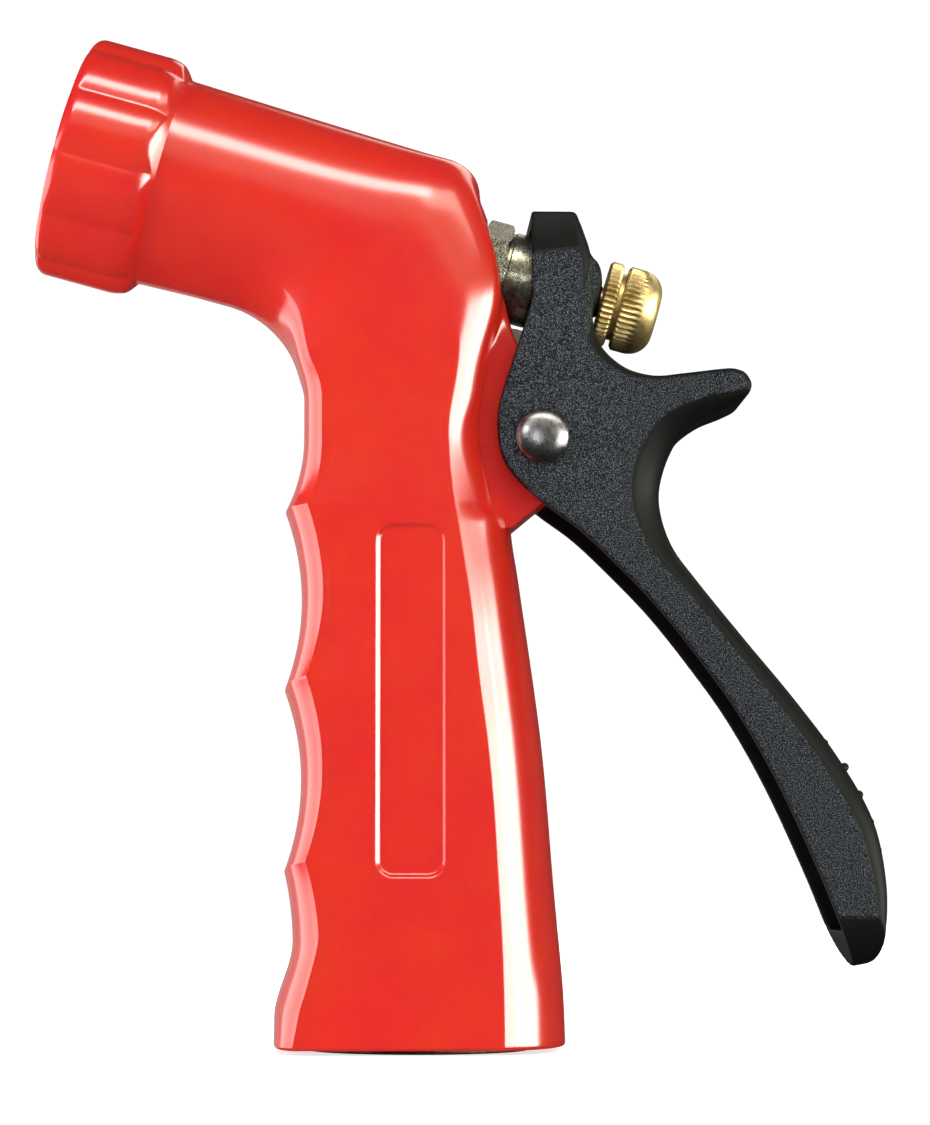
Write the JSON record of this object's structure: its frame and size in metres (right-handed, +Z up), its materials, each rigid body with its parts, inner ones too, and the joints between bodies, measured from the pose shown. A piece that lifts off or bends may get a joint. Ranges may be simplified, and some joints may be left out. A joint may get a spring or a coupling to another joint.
{
  "type": "pistol-grip water hose nozzle",
  "caption": "Pistol-grip hose nozzle: lobed front bumper, rubber-jacketed valve body, rear squeeze lever that pulls a sprung stem valve open, knurled brass adjuster.",
  "frame": {"origin": "centre of the hose inlet's open face, at the bottom of the grip", "axes": "+Z up the grip, away from the hose; +X from the spray head towards the squeeze lever; +Y across the grip, the spray axis lies in the XZ plane"},
  "size_m": [0.1179, 0.0358, 0.1406],
  "materials": {
    "cast_body": "as cast",
    "red_rubber": "glossy moulded rubber",
    "cast_collar": "dull oxidised",
    "black_rubber": "matte",
    "brass": "machined",
    "knob_brass": "knurled, bright",
    "zinc_plate": "yellow-grey zinc plate, mottled",
    "black_coat": "textured black powder coat",
    "rivet_steel": "domed, lightly polished",
    "spring_steel": "drawn wire"
  },
  "bodies": {
    "body": {"valve_body": "cast_body", "rubber_cover": "red_rubber", "inlet_collar": "cast_collar", "inlet_gasket": "black_rubber", "spray_nozzle": "brass", "nozzle_gasket": "black_rubber", "rear_spring_seat": "brass", "packing_ring": "black_rubber", "packing_follower": "brass", "packing_nut": "zinc_plate"},
    "lever": {"lever": "black_coat", "pivot_rivet": "rivet_steel"},
    "stem": {"valve_stem": "brass", "valve_cone": "brass", "valve_seal": "black_rubber", "seal_retainer": "brass", "front_spring_seat": "brass", "return_spring": "spring_steel"},
    "adjusting_nut": {"adjusting_nut": "knob_brass"},
    "cap_nut": {"cap_lock_nut": "knob_brass"}
  },
  "joints": [
    {"name": "lever_pivot", "type": "hinge", "parent": "body", "child": "lever", "pos_m": [0.017, 0, 0.0843], "axis": [0, 1, 0], "range_deg": [0, 24], "stiffness_Nm_per_rad": 1.9, "springref_deg": -25.78},
    {"name": "stem_slide", "type": "slide", "parent": "body", "child": "stem", "axis": [0.9646, 0, -0.2639], "range_m": [0, 0.0095], "deforming": ["return_spring"]},
    {"name": "adjusting_nut_turn", "type": "hinge", "parent": "stem", "child": "adjusting_nut", "pos_m": [0.02624, 0, 0.10432], "axis": [0.9646, 0, -0.2639], "range_deg": [-360, 360]},
    {"name": "cap_nut_turn", "type": "hinge", "parent": "stem", "child": "cap_nut", "pos_m": [0.03087, 0, 0.10306], "axis": [0.9646, 0, -0.2639], "range_deg": [-360, 360]}
  ],
  "couplings": [
    {"joint": "stem_slide", "follows": "lever_pivot", "m_per_rad": 0.0225}
  ]
}
